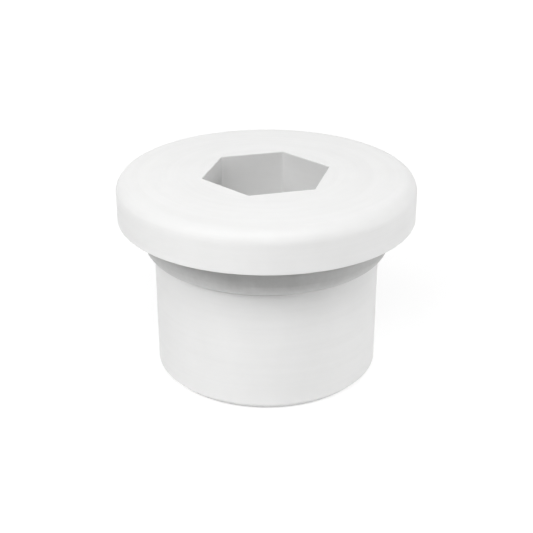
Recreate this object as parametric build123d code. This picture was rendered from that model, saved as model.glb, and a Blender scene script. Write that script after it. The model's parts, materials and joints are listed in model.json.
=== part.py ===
from build123d import *
from math import radians, tan
import os

# Hex socket plug, turned from one piece, with an O-ring in the neck under its head.
# Millimetres. +Z runs up the plug's axis. The origin is the centre of the shank's end face, so
# the plug stands on that end with its head on top, and the socket has two corners on the X axis.

# Shank: the plain envelope of the thread, from the head's underside to the end face.
shank_diameter = 16.0
shank_length = 11.5
end_chamfer = 0.5

# Head: a thick disc with a rounded top edge and a sharp rim below.
head_overhang = 2.5
head_thickness = 3.0
head_edge_radius = 1.0

# O-ring: a round section that stands on the shoulder where the shank begins.
ring_section = 1.78
ring_neck_clearance = 0.09
ring_shoulder_clearance = 0.01

# Neck: an undercut between head and shoulder, as wide as the ring and its side play.
neck_depth = 1.15
ring_side_play = 0.82

# Socket: a hexagon broached over a pilot hole, whose drill point stays in the floor.
hexagon_across_flats = 8.0
hexagon_depth = 6.0
pilot_margin = 0.2
drill_point_angle = 120.0

# Places that follow from the sizes above.
shank_radius = shank_diameter / 2
head_radius = shank_radius + head_overhang
seat_height = shank_length
top_height = seat_height + head_thickness
neck_radius = shank_radius - neck_depth
shoulder_height = seat_height - (ring_section + ring_side_play)
ring_radius = ring_section / 2
ring_line_radius = neck_radius + ring_neck_clearance + ring_radius
ring_line_height = shoulder_height + ring_shoulder_clearance + ring_radius
socket_floor = top_height - hexagon_depth
pilot_radius = hexagon_across_flats / 2 - pilot_margin
drill_point_depth = pilot_radius / tan(radians(drill_point_angle / 2))


# The outline that a lathe would cut, from the axis out and back, with the head's rounded edge.
def turned_outline():
    rim = (head_radius, top_height)
    with BuildSketch(Plane.XZ) as outline:
        with BuildLine():
            Polyline(
                (0, 0),
                (shank_radius - end_chamfer, 0),
                (shank_radius, end_chamfer),
                (shank_radius, shoulder_height),
                (neck_radius, shoulder_height),
                (neck_radius, seat_height),
                (head_radius, seat_height),
                rim,
                (0, top_height),
                close=True,
            )
        make_face()
        fillet(outline.vertices().sort_by_distance(rim)[0], head_edge_radius)
    return outline.sketch


# The hexagon, down to its floor, and the drill point left by the pilot hole below it.
def socket_cutter():
    with BuildPart() as cutter:
        with BuildSketch(Plane.XY.offset(socket_floor)):
            RegularPolygon(hexagon_across_flats / 2, 6, major_radius=False)
        extrude(amount=hexagon_depth)
        with BuildSketch(Plane.XZ):
            with BuildLine():
                Polyline(
                    (0, socket_floor - drill_point_depth),
                    (pilot_radius, socket_floor),
                    (0, socket_floor),
                    close=True,
                )
            make_face()
        revolve(axis=Axis.Z)
    return cutter.part


def plug_body():
    turned = revolve(turned_outline(), axis=Axis.Z)
    return turned - socket_cutter()


def o_ring():
    with BuildSketch(Plane.XZ) as section:
        with Locations((ring_line_radius, ring_line_height)):
            Circle(ring_radius)
    return revolve(section.sketch, axis=Axis.Z)


os.makedirs("parts", exist_ok=True)
export_step(plug_body(), "parts/plug_body.step")
export_step(o_ring(), "parts/o_ring.step")
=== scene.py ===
import bpy
import json
from math import atan2, cos, pi, radians, sin, tan
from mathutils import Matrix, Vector

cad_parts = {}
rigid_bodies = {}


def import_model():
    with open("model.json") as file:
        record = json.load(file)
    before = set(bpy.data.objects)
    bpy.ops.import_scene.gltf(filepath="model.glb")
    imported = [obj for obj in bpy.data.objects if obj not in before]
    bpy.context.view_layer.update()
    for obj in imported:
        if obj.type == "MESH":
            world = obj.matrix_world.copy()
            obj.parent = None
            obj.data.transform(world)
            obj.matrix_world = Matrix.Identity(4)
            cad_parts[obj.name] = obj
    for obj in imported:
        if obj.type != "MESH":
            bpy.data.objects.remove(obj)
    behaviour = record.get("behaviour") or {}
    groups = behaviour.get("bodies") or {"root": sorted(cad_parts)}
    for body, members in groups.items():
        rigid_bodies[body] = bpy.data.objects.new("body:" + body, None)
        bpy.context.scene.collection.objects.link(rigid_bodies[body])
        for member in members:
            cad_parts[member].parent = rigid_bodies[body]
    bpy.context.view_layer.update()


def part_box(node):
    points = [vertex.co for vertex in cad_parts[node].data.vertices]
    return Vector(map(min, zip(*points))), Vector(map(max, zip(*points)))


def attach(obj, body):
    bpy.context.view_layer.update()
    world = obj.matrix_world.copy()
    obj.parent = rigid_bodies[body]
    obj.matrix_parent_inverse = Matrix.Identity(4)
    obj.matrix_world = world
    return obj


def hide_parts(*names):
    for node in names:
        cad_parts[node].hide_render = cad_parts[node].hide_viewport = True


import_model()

mm = 0.001
plugLow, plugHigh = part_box("plug_body")
ringLow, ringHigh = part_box("o_ring")
print("frame loaded, plug stands", round(plugHigh[2] / mm, 2), "mm high")


# node helpers

def addNode(tree, kind, settings=None, inputs=None):
    node = tree.nodes.new(kind)
    for name, value in (settings or {}).items():
        setattr(node, name, value)
    for key, value in (inputs or {}).items():
        if isinstance(value, bpy.types.NodeSocket):
            tree.links.new(value, node.inputs[key])
        else:
            node.inputs[key].default_value = value
    return node


def calc(tree, operation, *values, clamp=False):
    settings = {"operation": operation, "use_clamp": clamp}
    return addNode(tree, "ShaderNodeMath", settings, dict(enumerate(values))).outputs[0]


def newTree(name, sizes):
    tree = bpy.data.node_groups.new(name, "GeometryNodeTree")
    tree.interface.new_socket("Geometry", in_out="INPUT", socket_type="NodeSocketGeometry")
    for label, kind in sizes.items():
        tree.interface.new_socket(label, in_out="INPUT", socket_type=kind)
    tree.interface.new_socket("Geometry", in_out="OUTPUT", socket_type="NodeSocketGeometry")
    return tree, tree.nodes.new("NodeGroupInput").outputs, tree.nodes.new("NodeGroupOutput").inputs


# every tree ends the same way: smooth, realized and dressed in its material
def endTree(tree, given, result, shape):
    smooth = addNode(tree, "GeometryNodeSetShadeSmooth", None, {"Geometry": shape}).outputs[0]
    realized = addNode(tree, "GeometryNodeRealizeInstances", None, {"Geometry": smooth}).outputs[0]
    dressed = addNode(tree, "GeometryNodeSetMaterial", None,
                      {"Geometry": realized, "Material": given["Material"]}).outputs[0]
    tree.links.new(dressed, result["Geometry"])


def bakeTree(name, startMesh, tree, values):
    carrier = bpy.data.objects.new(name + "Carrier", startMesh)
    bpy.context.scene.collection.objects.link(carrier)
    modifier = carrier.modifiers.new("make", "NODES")
    modifier.node_group = tree
    for entry in tree.interface.items_tree:
        if entry.in_out == "INPUT" and entry.name in values:
            modifier[entry.identifier] = values[entry.name]
    bpy.context.view_layer.update()
    graph = bpy.context.evaluated_depsgraph_get()
    finished = bpy.data.meshes.new_from_object(carrier.evaluated_get(graph))
    used = [material for material in finished.materials if material]
    finished.materials.clear()        # drops the start mesh's empty slot
    for material in used:
        finished.materials.append(material)
    finished.polygons.foreach_set("material_index", [0] * len(finished.polygons))
    carrier.modifiers.remove(modifier)
    bpy.data.objects.remove(carrier)
    finished.name = name
    piece = bpy.data.objects.new(name, finished)
    bpy.context.scene.collection.objects.link(piece)
    return piece


# material helpers

def newMaterial(name):
    material = bpy.data.materials.new(name)
    material.use_nodes = True
    return material, material.node_tree, material.node_tree.nodes["Principled BSDF"]


def mixColours(tree, share, first, second):
    mix = tree.nodes.new("ShaderNodeMix")
    mix.data_type = "RGBA"
    tree.links.new(share, mix.inputs["Factor"])
    mix.inputs["A"].default_value = first
    mix.inputs["B"].default_value = second
    return mix.outputs["Result"]


def rampOf(tree, value, low, high, outLow=0.0, outHigh=1.0):
    return addNode(tree, "ShaderNodeMapRange", {"clamp": True},
                   {"Value": value, "From Min": low, "From Max": high,
                    "To Min": outLow, "To Max": outHigh}).outputs[0]


def cloudOf(tree, place, size, detail=3.0, roughness=0.55):
    return addNode(tree, "ShaderNodeTexNoise", {"noise_dimensions": "3D"},
                   {"Vector": place, "Scale": 1.0 / (size * mm), "Detail": detail,
                    "Roughness": roughness}).outputs["Fac"]


# noise with a scale of its own along each of three values
def streaksOf(tree, values, scales, detail):
    place = addNode(tree, "ShaderNodeCombineXYZ", None, {
        axis: calc(tree, "MULTIPLY", value, scale)
        for axis, value, scale in zip("XYZ", values, scales)}).outputs[0]
    return addNode(tree, "ShaderNodeTexNoise", {"noise_dimensions": "3D"},
                   {"Vector": place, "Scale": 1.0, "Detail": detail}).outputs["Fac"]


def addBump(tree, shader, height):
    bump = addNode(tree, "ShaderNodeBump", None, {"Strength": 1.0, "Distance": 1.0, "Height": height})
    tree.links.new(bump.outputs["Normal"], shader.inputs["Normal"])


# plug body: a profile swept round the axis, hexagonal where the socket is

plug = {
    "shankRadius": 8.0,          # mm, as all lengths here
    "headRadius": (plugHigh[0] - plugLow[0]) / mm / 2,
    "topHeight": plugHigh[2] / mm,
    "headThickness": 3.0,
    "neckRadius": 6.85,
    "shoulderHeight": 8.9,
    "endChamfer": 0.5,
    "hexApothem": 4.0,
    "hexDepth": 6.0,
    "hexCornerRadius": 0.12,
    "pilotRadius": 3.8,
    "drillPointAngle": 120,
    # roundings: radius, steps
    "headEdge": (1.0, 14),
    "lowerRim": (0.07, 5),
    "shoulderEdge": (0.07, 4),
    "neckFillet": (0.3, 6),
    "mouthEdge": (0.03, 4),
    "smallEdge": (0.04, 3),
    "leadRow": 0.06,             # a row just outside each rounding keeps the flats flat
    "topRows": (8.0, 6.4),       # rows on the head's top, outside the one below
    "blendRow": 5.2,             # where the round rows start to turn into the hexagon
    "blendShare": 0.35,
    "around": 288,
    "cornerCrowding": 0.8,       # how much closer the columns stand near the hexagon's corners
    "mergeDistance": 0.001,
}

plugFinish = {
    "paleColour": (0.860, 0.860, 0.856, 1.0),
    "deepColour": (0.830, 0.830, 0.825, 1.0),
    "socketPaintedShade": 0.86,         # painted shade: the socket's walls are darkened to stand in for the shade in the recess
    "mottleSize": 2.6,           # mm across a cloud of the faint colour change
    "mottleRange": (0.35, 0.68),
    "mottleShare": 0.6,          # the rest of the colour change follows the arcs
    "arcWidth": 0.35,            # mm across an arc left by the tool
    "arcTurns": 0.8,
    "arcRange": (0.35, 0.7),
    "roughArcRange": (0.3, 0.7),
    "roughRange": (0.44, 0.58),
    "specular": 0.30,
    "feedPitch": 0.20,           # mm between turning marks
    "feedDepth": 0.0030,         # mm
    "feedWobble": 0.05,          # mm that a mark wanders, over the wobble's size
    "wobbleSize": 3.0,
    "fadeSize": 5.0,             # mm across a patch where the marks grow faint
    "fadeRange": (0.35, 0.65),
    "fadeLeast": 0.35,
    "broachPitch": 0.22,         # mm between the lines down the socket's walls
    "broachDepth": 0.004,
    "broachStretch": 0.06,       # how fast a line changes along the wall
    "wallReach": (4.62, 4.66),   # mm, where the socket's walls end outwards
    "wallTop": (14.40, 14.46),
    "wallFoot": (8.52, 8.60),
    "grainSize": 0.25,
    "grainDepth": 0.0012,
}


def turnedPlastic():
    finish = plugFinish
    material, tree, shader = newMaterial("turnedWhitePlastic")
    place = tree.nodes.new("ShaderNodeTexCoord").outputs["Object"]
    across, along, up = addNode(tree, "ShaderNodeSeparateXYZ", None, {0: place}).outputs
    squares = calc(tree, "ADD", calc(tree, "POWER", across, 2.0), calc(tree, "POWER", along, 2.0))
    reach = calc(tree, "SQRT", squares)
    turn = calc(tree, "ARCTAN2", along, across)

    # inside the socket the walls carry lines down them instead of turning marks
    edges = {name: [edge * mm for edge in finish[name]] for name in ("wallReach", "wallTop", "wallFoot")}
    insideReach = rampOf(tree, reach, *edges["wallReach"], 1.0, 0.0)
    belowTop = rampOf(tree, up, *edges["wallTop"], 1.0, 0.0)
    aboveFloor = rampOf(tree, up, *edges["wallFoot"])
    onWall = calc(tree, "MULTIPLY", calc(tree, "MULTIPLY", insideReach, belowTop), aboveFloor)
    turned = calc(tree, "SUBTRACT", 1.0, onWall)

    # turning marks: the tool's feed leaves rings, one set along the axis and one across the faces
    wander = cloudOf(tree, place, finish["wobbleSize"], detail=1.0)
    wobble = calc(tree, "MULTIPLY", wander, finish["feedWobble"] * mm)
    feedPlace = calc(tree, "ADD", calc(tree, "ADD", up, reach), wobble)
    feedPhase = calc(tree, "MULTIPLY", feedPlace, 2 * pi / (finish["feedPitch"] * mm))
    feedWave = calc(tree, "MULTIPLY", calc(tree, "SINE", feedPhase), 0.5)      # half the depth each way
    patches = cloudOf(tree, place, finish["fadeSize"], detail=2.0)
    feedFade = rampOf(tree, patches, *finish["fadeRange"], finish["fadeLeast"], 1.0)
    feedMarks = calc(tree, "MULTIPLY", calc(tree, "MULTIPLY", feedWave, feedFade), turned)

    # broach lines: noise that changes round the wall and hardly along it
    lineScale = 1.0 / (finish["broachPitch"] * mm)
    broachLines = streaksOf(tree, (across, along, up),
                            (lineScale, lineScale, finish["broachStretch"] * lineScale), detail=2.0)
    broachMarks = calc(tree, "MULTIPLY", broachLines, onWall)

    grain = cloudOf(tree, place, finish["grainSize"], detail=4.0, roughness=0.6)
    height = calc(tree, "MULTIPLY", feedMarks, finish["feedDepth"] * mm)
    height = calc(tree, "MULTIPLY_ADD", broachMarks, finish["broachDepth"] * mm, height)
    height = calc(tree, "MULTIPLY_ADD", grain, finish["grainDepth"] * mm, height)
    addBump(tree, shader, height)

    # faint clouds, and arcs that follow the turning, change the colour; the arcs change the gloss too
    clouds = cloudOf(tree, place, finish["mottleSize"], detail=5.0, roughness=0.6)
    mottle = rampOf(tree, clouds, *finish["mottleRange"])
    arcScale = 1.0 / (finish["arcWidth"] * mm)
    arcs = streaksOf(tree, (turn, reach, up), (finish["arcTurns"], arcScale, arcScale), detail=3.0)
    arcPart = calc(tree, "MULTIPLY", rampOf(tree, arcs, *finish["arcRange"]), 1.0 - finish["mottleShare"])
    share = calc(tree, "MULTIPLY_ADD", mottle, finish["mottleShare"], arcPart)
    plain = mixColours(tree, share, finish["paleColour"], finish["deepColour"])
    # painted shade: on the socket's walls the colour is scaled down to stand in for the shade in the
    # hexagonal recess
    paintedShade = rampOf(tree, onWall, 0.0, 1.0, 1.0, finish["socketPaintedShade"])
    colour = addNode(tree, "ShaderNodeVectorMath", {"operation": "SCALE"},
                     {0: plain, "Scale": paintedShade}).outputs[0]
    tree.links.new(colour, shader.inputs["Base Color"])
    rough = rampOf(tree, arcs, *finish["roughArcRange"], *finish["roughRange"])
    tree.links.new(rough, shader.inputs["Roughness"])
    shader.inputs["Specular IOR Level"].default_value = finish["specular"]
    print("plug finish made")
    return material


# plain rows spread along a straight stretch of the profile
def between(start, end, count, share=0):
    steps = [step / (count + 1) for step in range(1, count + 1)]
    return [(start[0] + (end[0] - start[0]) * part, start[1] + (end[1] - start[1]) * part, share, None)
            for part in steps]


# turns corners of reach, height, share of the hexagon and rounding into the profile's points
def roundedPath(corners):
    path = []
    for index, (reach, height, share, rounding) in enumerate(corners):
        if rounding is None:
            path.append((reach, height, share))
            continue
        radius, steps = rounding
        here = Vector((reach, height))
        inward = (Vector(corners[index - 1][:2]) - here).normalized()
        onward = (Vector(corners[index + 1][:2]) - here).normalized()
        half = inward.angle(onward) / 2
        run = radius / tan(half)
        centre = here + (inward + onward).normalized() * (radius / sin(half))
        startArm = here + inward * run - centre
        endArm = here + onward * run - centre
        firstAngle = atan2(startArm.y, startArm.x)
        side = 1 if startArm.cross(endArm) > 0 else -1
        sweep = startArm.angle(endArm) * side
        lead = min(plug["leadRow"], radius)
        before = here + inward * (run + lead)
        after = here + onward * (run + lead)
        path.append((before.x, before.y, share))
        for step in range(steps + 1):
            angle = firstAngle + sweep * step / steps
            path.append((centre.x + radius * cos(angle), centre.y + radius * sin(angle), share))
        path.append((after.x, after.y, share))
    return path


def plugPath():
    size = plug
    top = size["topHeight"]
    seat = top - size["headThickness"]
    floor = top - size["hexDepth"]
    shank, neck, head = size["shankRadius"], size["neckRadius"], size["headRadius"]
    shoulder, chamfer = size["shoulderHeight"], size["endChamfer"]
    inner = shank - chamfer
    flat, pilot = size["hexApothem"], size["pilotRadius"]
    drillTip = floor - pilot / tan(radians(size["drillPointAngle"] / 2))

    corners = [(0.0, 0.0, 0, None)]
    corners += between((0.0, 0.0), (inner, 0.0), 2)
    corners += [(inner, 0.0, 0, size["smallEdge"]), (shank, chamfer, 0, size["smallEdge"])]
    corners += between((shank, chamfer), (shank, shoulder), 2)
    corners += [(shank, shoulder, 0, size["shoulderEdge"]),
                (neck, shoulder, 0, size["neckFillet"]),
                (neck, seat, 0, size["neckFillet"])]
    corners += between((neck, seat), (head, seat), 1)
    corners += [(head, seat, 0, size["lowerRim"]), (head, top, 0, size["headEdge"])]
    corners += [(row, top, 0, None) for row in size["topRows"]]
    corners += [(size["blendRow"], top, size["blendShare"], None), (flat, top, 1, size["mouthEdge"])]
    corners += between((flat, top), (flat, floor), 2, share=1)
    corners += [(flat, floor, 1, size["smallEdge"]), (pilot, floor, 0, size["smallEdge"])]
    corners += between((pilot, floor), (0.0, drillTip), 2)
    corners += [(0.0, drillTip, 0, None)]
    return roundedPath(corners)


def profileMesh(name, path):
    mesh = bpy.data.meshes.new(name)
    mesh.from_pydata([(reach * mm, 0.0, height * mm) for reach, height, share in path],
                     [(start, start + 1) for start in range(len(path) - 1)], [])
    shares = mesh.attributes.new("hexShare", "FLOAT", "POINT")
    for entry, (reach, height, share) in zip(shares.data, path):
        entry.value = share
    return mesh


def turningTree():
    tree, given, result = newTree("turnedWithHexSocket", {
        "Around": "NodeSocketInt",
        "Corner Radius Share": "NodeSocketFloat",
        "Corner Crowding": "NodeSocketFloat",
        "Merge Distance": "NodeSocketFloat",
        "Material": "NodeSocketMaterial"})
    profile = given["Geometry"]
    corners = 6.0
    sixth = 2 * pi / corners      # the turn from one corner of the hexagon to the next
    rows = addNode(tree, "GeometryNodeAttributeDomainSize", {"component": "MESH"},
                   {"Geometry": profile}).outputs["Point Count"]
    columns = addNode(tree, "FunctionNodeIntegerMath", {"operation": "ADD"},
                      {0: given["Around"], 1: 1}).outputs[0]       # the last one closes the round
    grid = addNode(tree, "GeometryNodeMeshGrid", None,
                   {"Vertices X": columns, "Vertices Y": rows}).outputs["Mesh"]
    index = tree.nodes.new("GeometryNodeInputIndex").outputs[0]
    row = addNode(tree, "FunctionNodeIntegerMath", {"operation": "MODULO"}, {0: index, 1: rows}).outputs[0]
    column = addNode(tree, "FunctionNodeIntegerMath", {"operation": "DIVIDE_FLOOR"},
                     {0: index, 1: rows}).outputs[0]

    # angle of each column, crowded towards the six corners
    sixths = calc(tree, "DIVIDE", calc(tree, "MULTIPLY", column, corners), given["Around"])
    ripple = calc(tree, "SINE", calc(tree, "MULTIPLY", sixths, 2 * pi))
    crowd = calc(tree, "MULTIPLY", ripple, calc(tree, "DIVIDE", given["Corner Crowding"], 2 * pi))
    angle = calc(tree, "MULTIPLY", calc(tree, "SUBTRACT", sixths, crowd), sixth)

    # the hexagon's reach over its apothem, with a small arc at each corner
    offCorner = calc(tree, "PINGPONG", angle, sixth / 2)
    flatReach = calc(tree, "DIVIDE", 1.0, calc(tree, "COSINE", calc(tree, "SUBTRACT", sixth / 2, offCorner)))
    arcShare = given["Corner Radius Share"]
    arcPlace = calc(tree, "DIVIDE", calc(tree, "SUBTRACT", 1.0, arcShare), cos(sixth / 2))
    sideways = calc(tree, "MULTIPLY", arcPlace, calc(tree, "SINE", offCorner))
    under = calc(tree, "SUBTRACT", calc(tree, "POWER", arcShare, 2.0), calc(tree, "POWER", sideways, 2.0))
    arcReach = calc(tree, "MULTIPLY_ADD", arcPlace, calc(tree, "COSINE", offCorner),
                    calc(tree, "SQRT", calc(tree, "MAXIMUM", under, 0.0)))
    arcEnd = calc(tree, "ARCTAN2", calc(tree, "MULTIPLY", arcShare, sin(sixth / 2)),
                  calc(tree, "MULTIPLY_ADD", arcShare, cos(sixth / 2), arcPlace))
    onArc = addNode(tree, "FunctionNodeCompare", {"data_type": "FLOAT", "operation": "LESS_THAN"},
                    {0: offCorner, 1: arcEnd}).outputs[0]
    hexReach = addNode(tree, "GeometryNodeSwitch", {"input_type": "FLOAT"},
                       {"Switch": onArc, "False": flatReach, "True": arcReach}).outputs[0]

    # where each row of the profile stands
    here = tree.nodes.new("GeometryNodeInputPosition").outputs[0]
    profilePlace = addNode(tree, "GeometryNodeSampleIndex", {"data_type": "FLOAT_VECTOR", "domain": "POINT"},
                           {"Geometry": profile, "Value": here, "Index": row}).outputs[0]
    shareField = addNode(tree, "GeometryNodeInputNamedAttribute", {"data_type": "FLOAT"},
                         {"Name": "hexShare"}).outputs[0]
    share = addNode(tree, "GeometryNodeSampleIndex", {"data_type": "FLOAT", "domain": "POINT"},
                    {"Geometry": profile, "Value": shareField, "Index": row}).outputs[0]
    profileAxes = addNode(tree, "ShaderNodeSeparateXYZ", None, {0: profilePlace}).outputs
    stretch = calc(tree, "MULTIPLY_ADD", share, calc(tree, "SUBTRACT", hexReach, 1.0), 1.0)
    reach = calc(tree, "MULTIPLY", profileAxes[0], stretch)
    place = addNode(tree, "ShaderNodeCombineXYZ", None, {
        "X": calc(tree, "MULTIPLY", reach, calc(tree, "COSINE", angle)),
        "Y": calc(tree, "MULTIPLY", reach, calc(tree, "SINE", angle)),
        "Z": profileAxes[2]}).outputs[0]

    # the last column lands on the first, and the rows on the axis close to a point
    shaped = addNode(tree, "GeometryNodeSetPosition", None, {"Geometry": grid, "Position": place}).outputs[0]
    closed = addNode(tree, "GeometryNodeMergeByDistance", None,
                     {"Geometry": shaped, "Distance": given["Merge Distance"]}).outputs[0]
    endTree(tree, given, result, closed)
    return tree


def makePlugBody():
    piece = bakeTree("plugBody", profileMesh("plugProfile", plugPath()), turningTree(), {
        "Around": plug["around"],
        "Corner Radius Share": plug["hexCornerRadius"] / plug["hexApothem"],
        "Corner Crowding": plug["cornerCrowding"],
        "Merge Distance": plug["mergeDistance"] * mm,
        "Material": turnedPlastic()})
    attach(piece, "root")
    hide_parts("plug_body")
    print("plug body:", len(piece.data.vertices), "points")
    return piece


# O-ring: a round section swept round the neck, with the moulding line left by its two mould halves

ring = {
    "section": (ringHigh[2] - ringLow[2]) / mm,
    "outerRadius": (ringHigh[0] - ringLow[0]) / mm / 2,
    "middleHeight": (ringHigh[2] + ringLow[2]) / mm / 2,
    "flashHeight": 0.02,         # the moulding line, round the outside and the inside
    "flashWidth": 0.10,
    "around": 288,
    "aroundSection": 72,
}

ringFinish = {
    "paleColour": (0.600, 0.600, 0.596, 1.0),
    "deepColour": (0.530, 0.530, 0.526, 1.0),
    "mottleSize": 1.4,           # mm
    "mottleRange": (0.35, 0.68),
    "grainSize": 0.12,
    "grainDepth": 0.004,
    "grainRange": (0.3, 0.7),
    "roughRange": (0.55, 0.72),
    "specular": 0.35,
    "sheen": 0.12,
    "sheenRoughness": 0.5,
}


def paleRubber():
    finish = ringFinish
    material, tree, shader = newMaterial("paleRingRubber")
    place = tree.nodes.new("ShaderNodeTexCoord").outputs["Object"]
    clouds = cloudOf(tree, place, finish["mottleSize"], detail=5.0, roughness=0.6)
    mottle = rampOf(tree, clouds, *finish["mottleRange"])
    colour = mixColours(tree, mottle, finish["paleColour"], finish["deepColour"])
    tree.links.new(colour, shader.inputs["Base Color"])
    grain = cloudOf(tree, place, finish["grainSize"], detail=4.0, roughness=0.65)
    rough = rampOf(tree, grain, *finish["grainRange"], *finish["roughRange"])
    tree.links.new(rough, shader.inputs["Roughness"])
    addBump(tree, shader, calc(tree, "MULTIPLY", grain, finish["grainDepth"] * mm))
    shader.inputs["Specular IOR Level"].default_value = finish["specular"]
    shader.inputs["Sheen Weight"].default_value = finish["sheen"]
    shader.inputs["Sheen Roughness"].default_value = finish["sheenRoughness"]
    print("ring finish made")
    return material


def ringTree():
    tree, given, result = newTree("ringRound", {
        "Line Radius": "NodeSocketFloat",
        "Section Radius": "NodeSocketFloat",
        "Middle Height": "NodeSocketFloat",
        "Flash Height": "NodeSocketFloat",
        "Flash Width": "NodeSocketFloat",
        "Around": "NodeSocketInt",
        "Around Section": "NodeSocketInt",
        "Material": "NodeSocketMaterial"})
    line = addNode(tree, "GeometryNodeCurvePrimitiveCircle", {"mode": "RADIUS"},
                   {"Resolution": given["Around"], "Radius": given["Line Radius"]}).outputs["Curve"]
    section = addNode(tree, "GeometryNodeCurvePrimitiveCircle", {"mode": "RADIUS"},
                      {"Resolution": given["Around Section"],
                       "Radius": given["Section Radius"]}).outputs["Curve"]
    swept = addNode(tree, "GeometryNodeCurveToMesh", None,
                    {"Curve": line, "Profile Curve": section}).outputs["Mesh"]

    # the moulding line rises towards the middle of the section, then the whole ring goes up to its place
    here = tree.nodes.new("GeometryNodeInputPosition").outputs[0]
    axes = addNode(tree, "ShaderNodeSeparateXYZ", None, {0: here}).outputs
    offMiddle = calc(tree, "DIVIDE", calc(tree, "ABSOLUTE", axes[2]), given["Flash Width"])
    nearness = calc(tree, "SUBTRACT", 1.0, offMiddle, clamp=True)
    lift = calc(tree, "MULTIPLY", given["Flash Height"], calc(tree, "POWER", nearness, 2.0))
    normal = tree.nodes.new("GeometryNodeInputNormal").outputs[0]
    outward = addNode(tree, "ShaderNodeVectorMath", {"operation": "SCALE"},
                      {0: normal, "Scale": lift}).outputs[0]
    upward = addNode(tree, "ShaderNodeCombineXYZ", None, {"Z": given["Middle Height"]}).outputs[0]
    move = addNode(tree, "ShaderNodeVectorMath", {"operation": "ADD"}, {0: outward, 1: upward}).outputs[0]
    placed = addNode(tree, "GeometryNodeSetPosition", None, {"Geometry": swept, "Offset": move}).outputs[0]
    endTree(tree, given, result, placed)
    return tree


def makeRing():
    piece = bakeTree("sealingRing", bpy.data.meshes.new("ringStart"), ringTree(), {
        "Line Radius": (ring["outerRadius"] - ring["section"] / 2) * mm,
        "Section Radius": ring["section"] / 2 * mm,
        "Middle Height": ring["middleHeight"] * mm,
        "Flash Height": ring["flashHeight"] * mm,
        "Flash Width": ring["flashWidth"] * mm,
        "Around": ring["around"],
        "Around Section": ring["aroundSection"],
        "Material": paleRubber()})
    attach(piece, "root")
    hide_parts("o_ring")
    print("ring:", len(piece.data.vertices), "points")
    return piece


makePlugBody()
makeRing()


# room, lamps and camera

room = {
    "floorReach": 2.0,           # m
    "floorColour": (0.90, 0.90, 0.90, 1.0),
    "floorSeenColour": (0.32, 0.32, 0.32, 1.0),
    "white": (1.0, 1.0, 1.0, 1.0),
    "floorGlow": 0.76,           # near the plug, where the shadow shows
    "farGlow": 1.0,
    "glowStart": 35.0,           # mm from the axis
    "glowEnd": 220.0,
    "skyLight": 0.08,
    "skySeen": 1.0,
}


# 1 where the camera, a reflection or a look through glass meets the surface, 0 for light on the plug
def seenDirectly(tree):
    path = tree.nodes.new("ShaderNodeLightPath").outputs
    cameraOrGlossy = calc(tree, "MAXIMUM", path["Is Camera Ray"], path["Is Glossy Ray"])
    return calc(tree, "MAXIMUM", cameraOrGlossy, path["Is Transmission Ray"])


def makeFloor():
    mesh = bpy.data.meshes.new("floor")
    side = room["floorReach"]
    corners = [(-side, -side, 0), (side, -side, 0), (side, side, 0), (-side, side, 0)]
    mesh.from_pydata(corners, [], [(0, 1, 2, 3)])
    floor = bpy.data.objects.new("floor", mesh)
    bpy.context.scene.collection.objects.link(floor)
    material = bpy.data.materials.new("paleFloor")
    material.use_nodes = True
    tree = material.node_tree
    tree.nodes.clear()
    plain = addNode(tree, "ShaderNodeBsdfDiffuse", None, {"Color": room["floorColour"]}).outputs[0]
    seenPlain = addNode(tree, "ShaderNodeBsdfDiffuse", None, {"Color": room["floorSeenColour"]}).outputs[0]
    place = tree.nodes.new("ShaderNodeTexCoord").outputs["Object"]
    away = addNode(tree, "ShaderNodeVectorMath", {"operation": "LENGTH"}, {0: place}).outputs["Value"]
    strength = rampOf(tree, away, room["glowStart"] * mm, room["glowEnd"] * mm,
                      room["floorGlow"], room["farGlow"])
    glow = addNode(tree, "ShaderNodeEmission", None,
                   {"Color": room["white"], "Strength": strength}).outputs[0]
    both = addNode(tree, "ShaderNodeAddShader", None, {0: seenPlain, 1: glow}).outputs[0]
    mix = addNode(tree, "ShaderNodeMixShader", None,
                  {0: seenDirectly(tree), 1: plain, 2: both}).outputs[0]
    addNode(tree, "ShaderNodeOutputMaterial", None, {"Surface": mix})
    mesh.materials.append(material)


def makeSky():
    world = bpy.data.worlds.new("studio")
    bpy.context.scene.world = world
    world.use_nodes = True
    tree = world.node_tree
    tree.nodes.clear()
    strength = rampOf(tree, seenDirectly(tree), 0.0, 1.0, room["skyLight"], room["skySeen"])
    back = addNode(tree, "ShaderNodeBackground", None,
                   {"Color": room["white"], "Strength": strength}).outputs[0]
    addNode(tree, "ShaderNodeOutputWorld", None, {"Surface": back})


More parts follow.
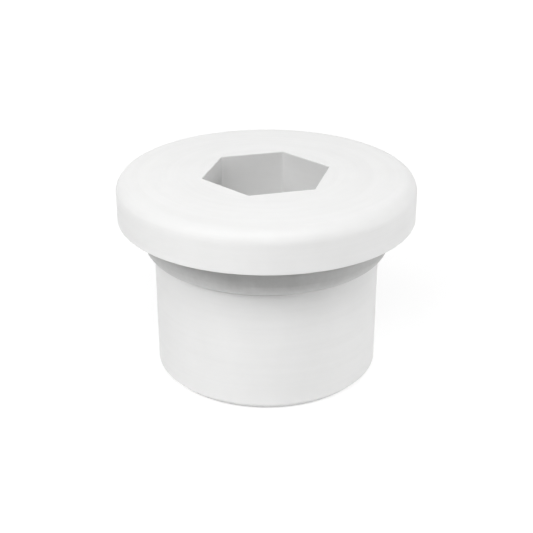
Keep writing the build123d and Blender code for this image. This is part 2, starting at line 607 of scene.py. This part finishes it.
lampAim = (0.0, 0.0, 7.0)        # mm
glareElevation = 35              # lower lamps give no highlight, or they would glare on the head from across
lampKeys = ("azimuth", "elevation", "distance", "wide", "high", "strength")
lamps = {
    # degrees, mm, and how bright the lamp makes a white surface that faces it
    "leftFill": (-85, 30, 170.0, 60.0, 60.0, 0.19),
    "leftKey": (-60, 42, 170.0, 60.0, 60.0, 0.18),
    "frontLeft": (-40, 54, 170.0, 60.0, 60.0, 0.145),
    "frontKey": (-15, 54, 170.0, 60.0, 60.0, 0.22),
    "frontRight": (15, 54, 170.0, 60.0, 60.0, 0.23),
    "sideFill": (82, 11, 170.0, 110.0, 50.0, 0.32),
    "backKey": (165, 45, 170.0, 120.0, 120.0, 0.21),
    "backFill": (190, 11, 170.0, 160.0, 50.0, 0.18),
}


def awayFrom(azimuth, elevation):
    around, above = radians(azimuth), radians(elevation)
    return Vector((sin(around) * cos(above), -cos(around) * cos(above), sin(above)))


def makeLamps():
    for name, values in lamps.items():
        at = dict(zip(lampKeys, values))
        away = awayFrom(at["azimuth"], at["elevation"])
        light = bpy.data.lights.new(name, "AREA")
        light.shape = "RECTANGLE"
        light.size = at["wide"] * mm
        light.size_y = at["high"] * mm
        light.energy = at["strength"] * (pi * at["distance"] * mm) ** 2
        lamp = bpy.data.objects.new(name, light)
        lamp.location = (Vector(lampAim) + away * at["distance"]) * mm
        lamp.rotation_euler = (-away).to_track_quat("-Z", "Y").to_euler()
        lamp.visible_camera = False
        lamp.visible_glossy = at["elevation"] > glareElevation
        bpy.context.scene.collection.objects.link(lamp)


shot = {
    "target": (0.0, 0.0, 7.25),  # mm
    "azimuth": -15.14,
    "elevation": 25.0,
    "distance": 79.92,           # mm
    "lens": 74.39,
    "sensor": 36.0,
    "clipStart": 1.0,            # mm
    "clipEnd": 10000.0,
}


def makeCamera():
    camera = bpy.data.cameras.new("shot")
    camera.lens = shot["lens"]
    camera.sensor_width = shot["sensor"]
    camera.sensor_fit = "HORIZONTAL"
    camera.clip_start = shot["clipStart"] * mm
    camera.clip_end = shot["clipEnd"] * mm
    camera.dof.use_dof = False
    viewer = bpy.data.objects.new("shot", camera)
    away = awayFrom(shot["azimuth"], shot["elevation"])
    viewer.location = (Vector(shot["target"]) + away * shot["distance"]) * mm
    viewer.rotation_euler = (-away).to_track_quat("-Z", "Y").to_euler()
    bpy.context.scene.collection.objects.link(viewer)
    bpy.context.scene.camera = viewer


makeFloor()
makeSky()
makeLamps()
makeCamera()
bpy.context.scene.view_settings.view_transform = "Standard"
print("room, lamps and camera set")
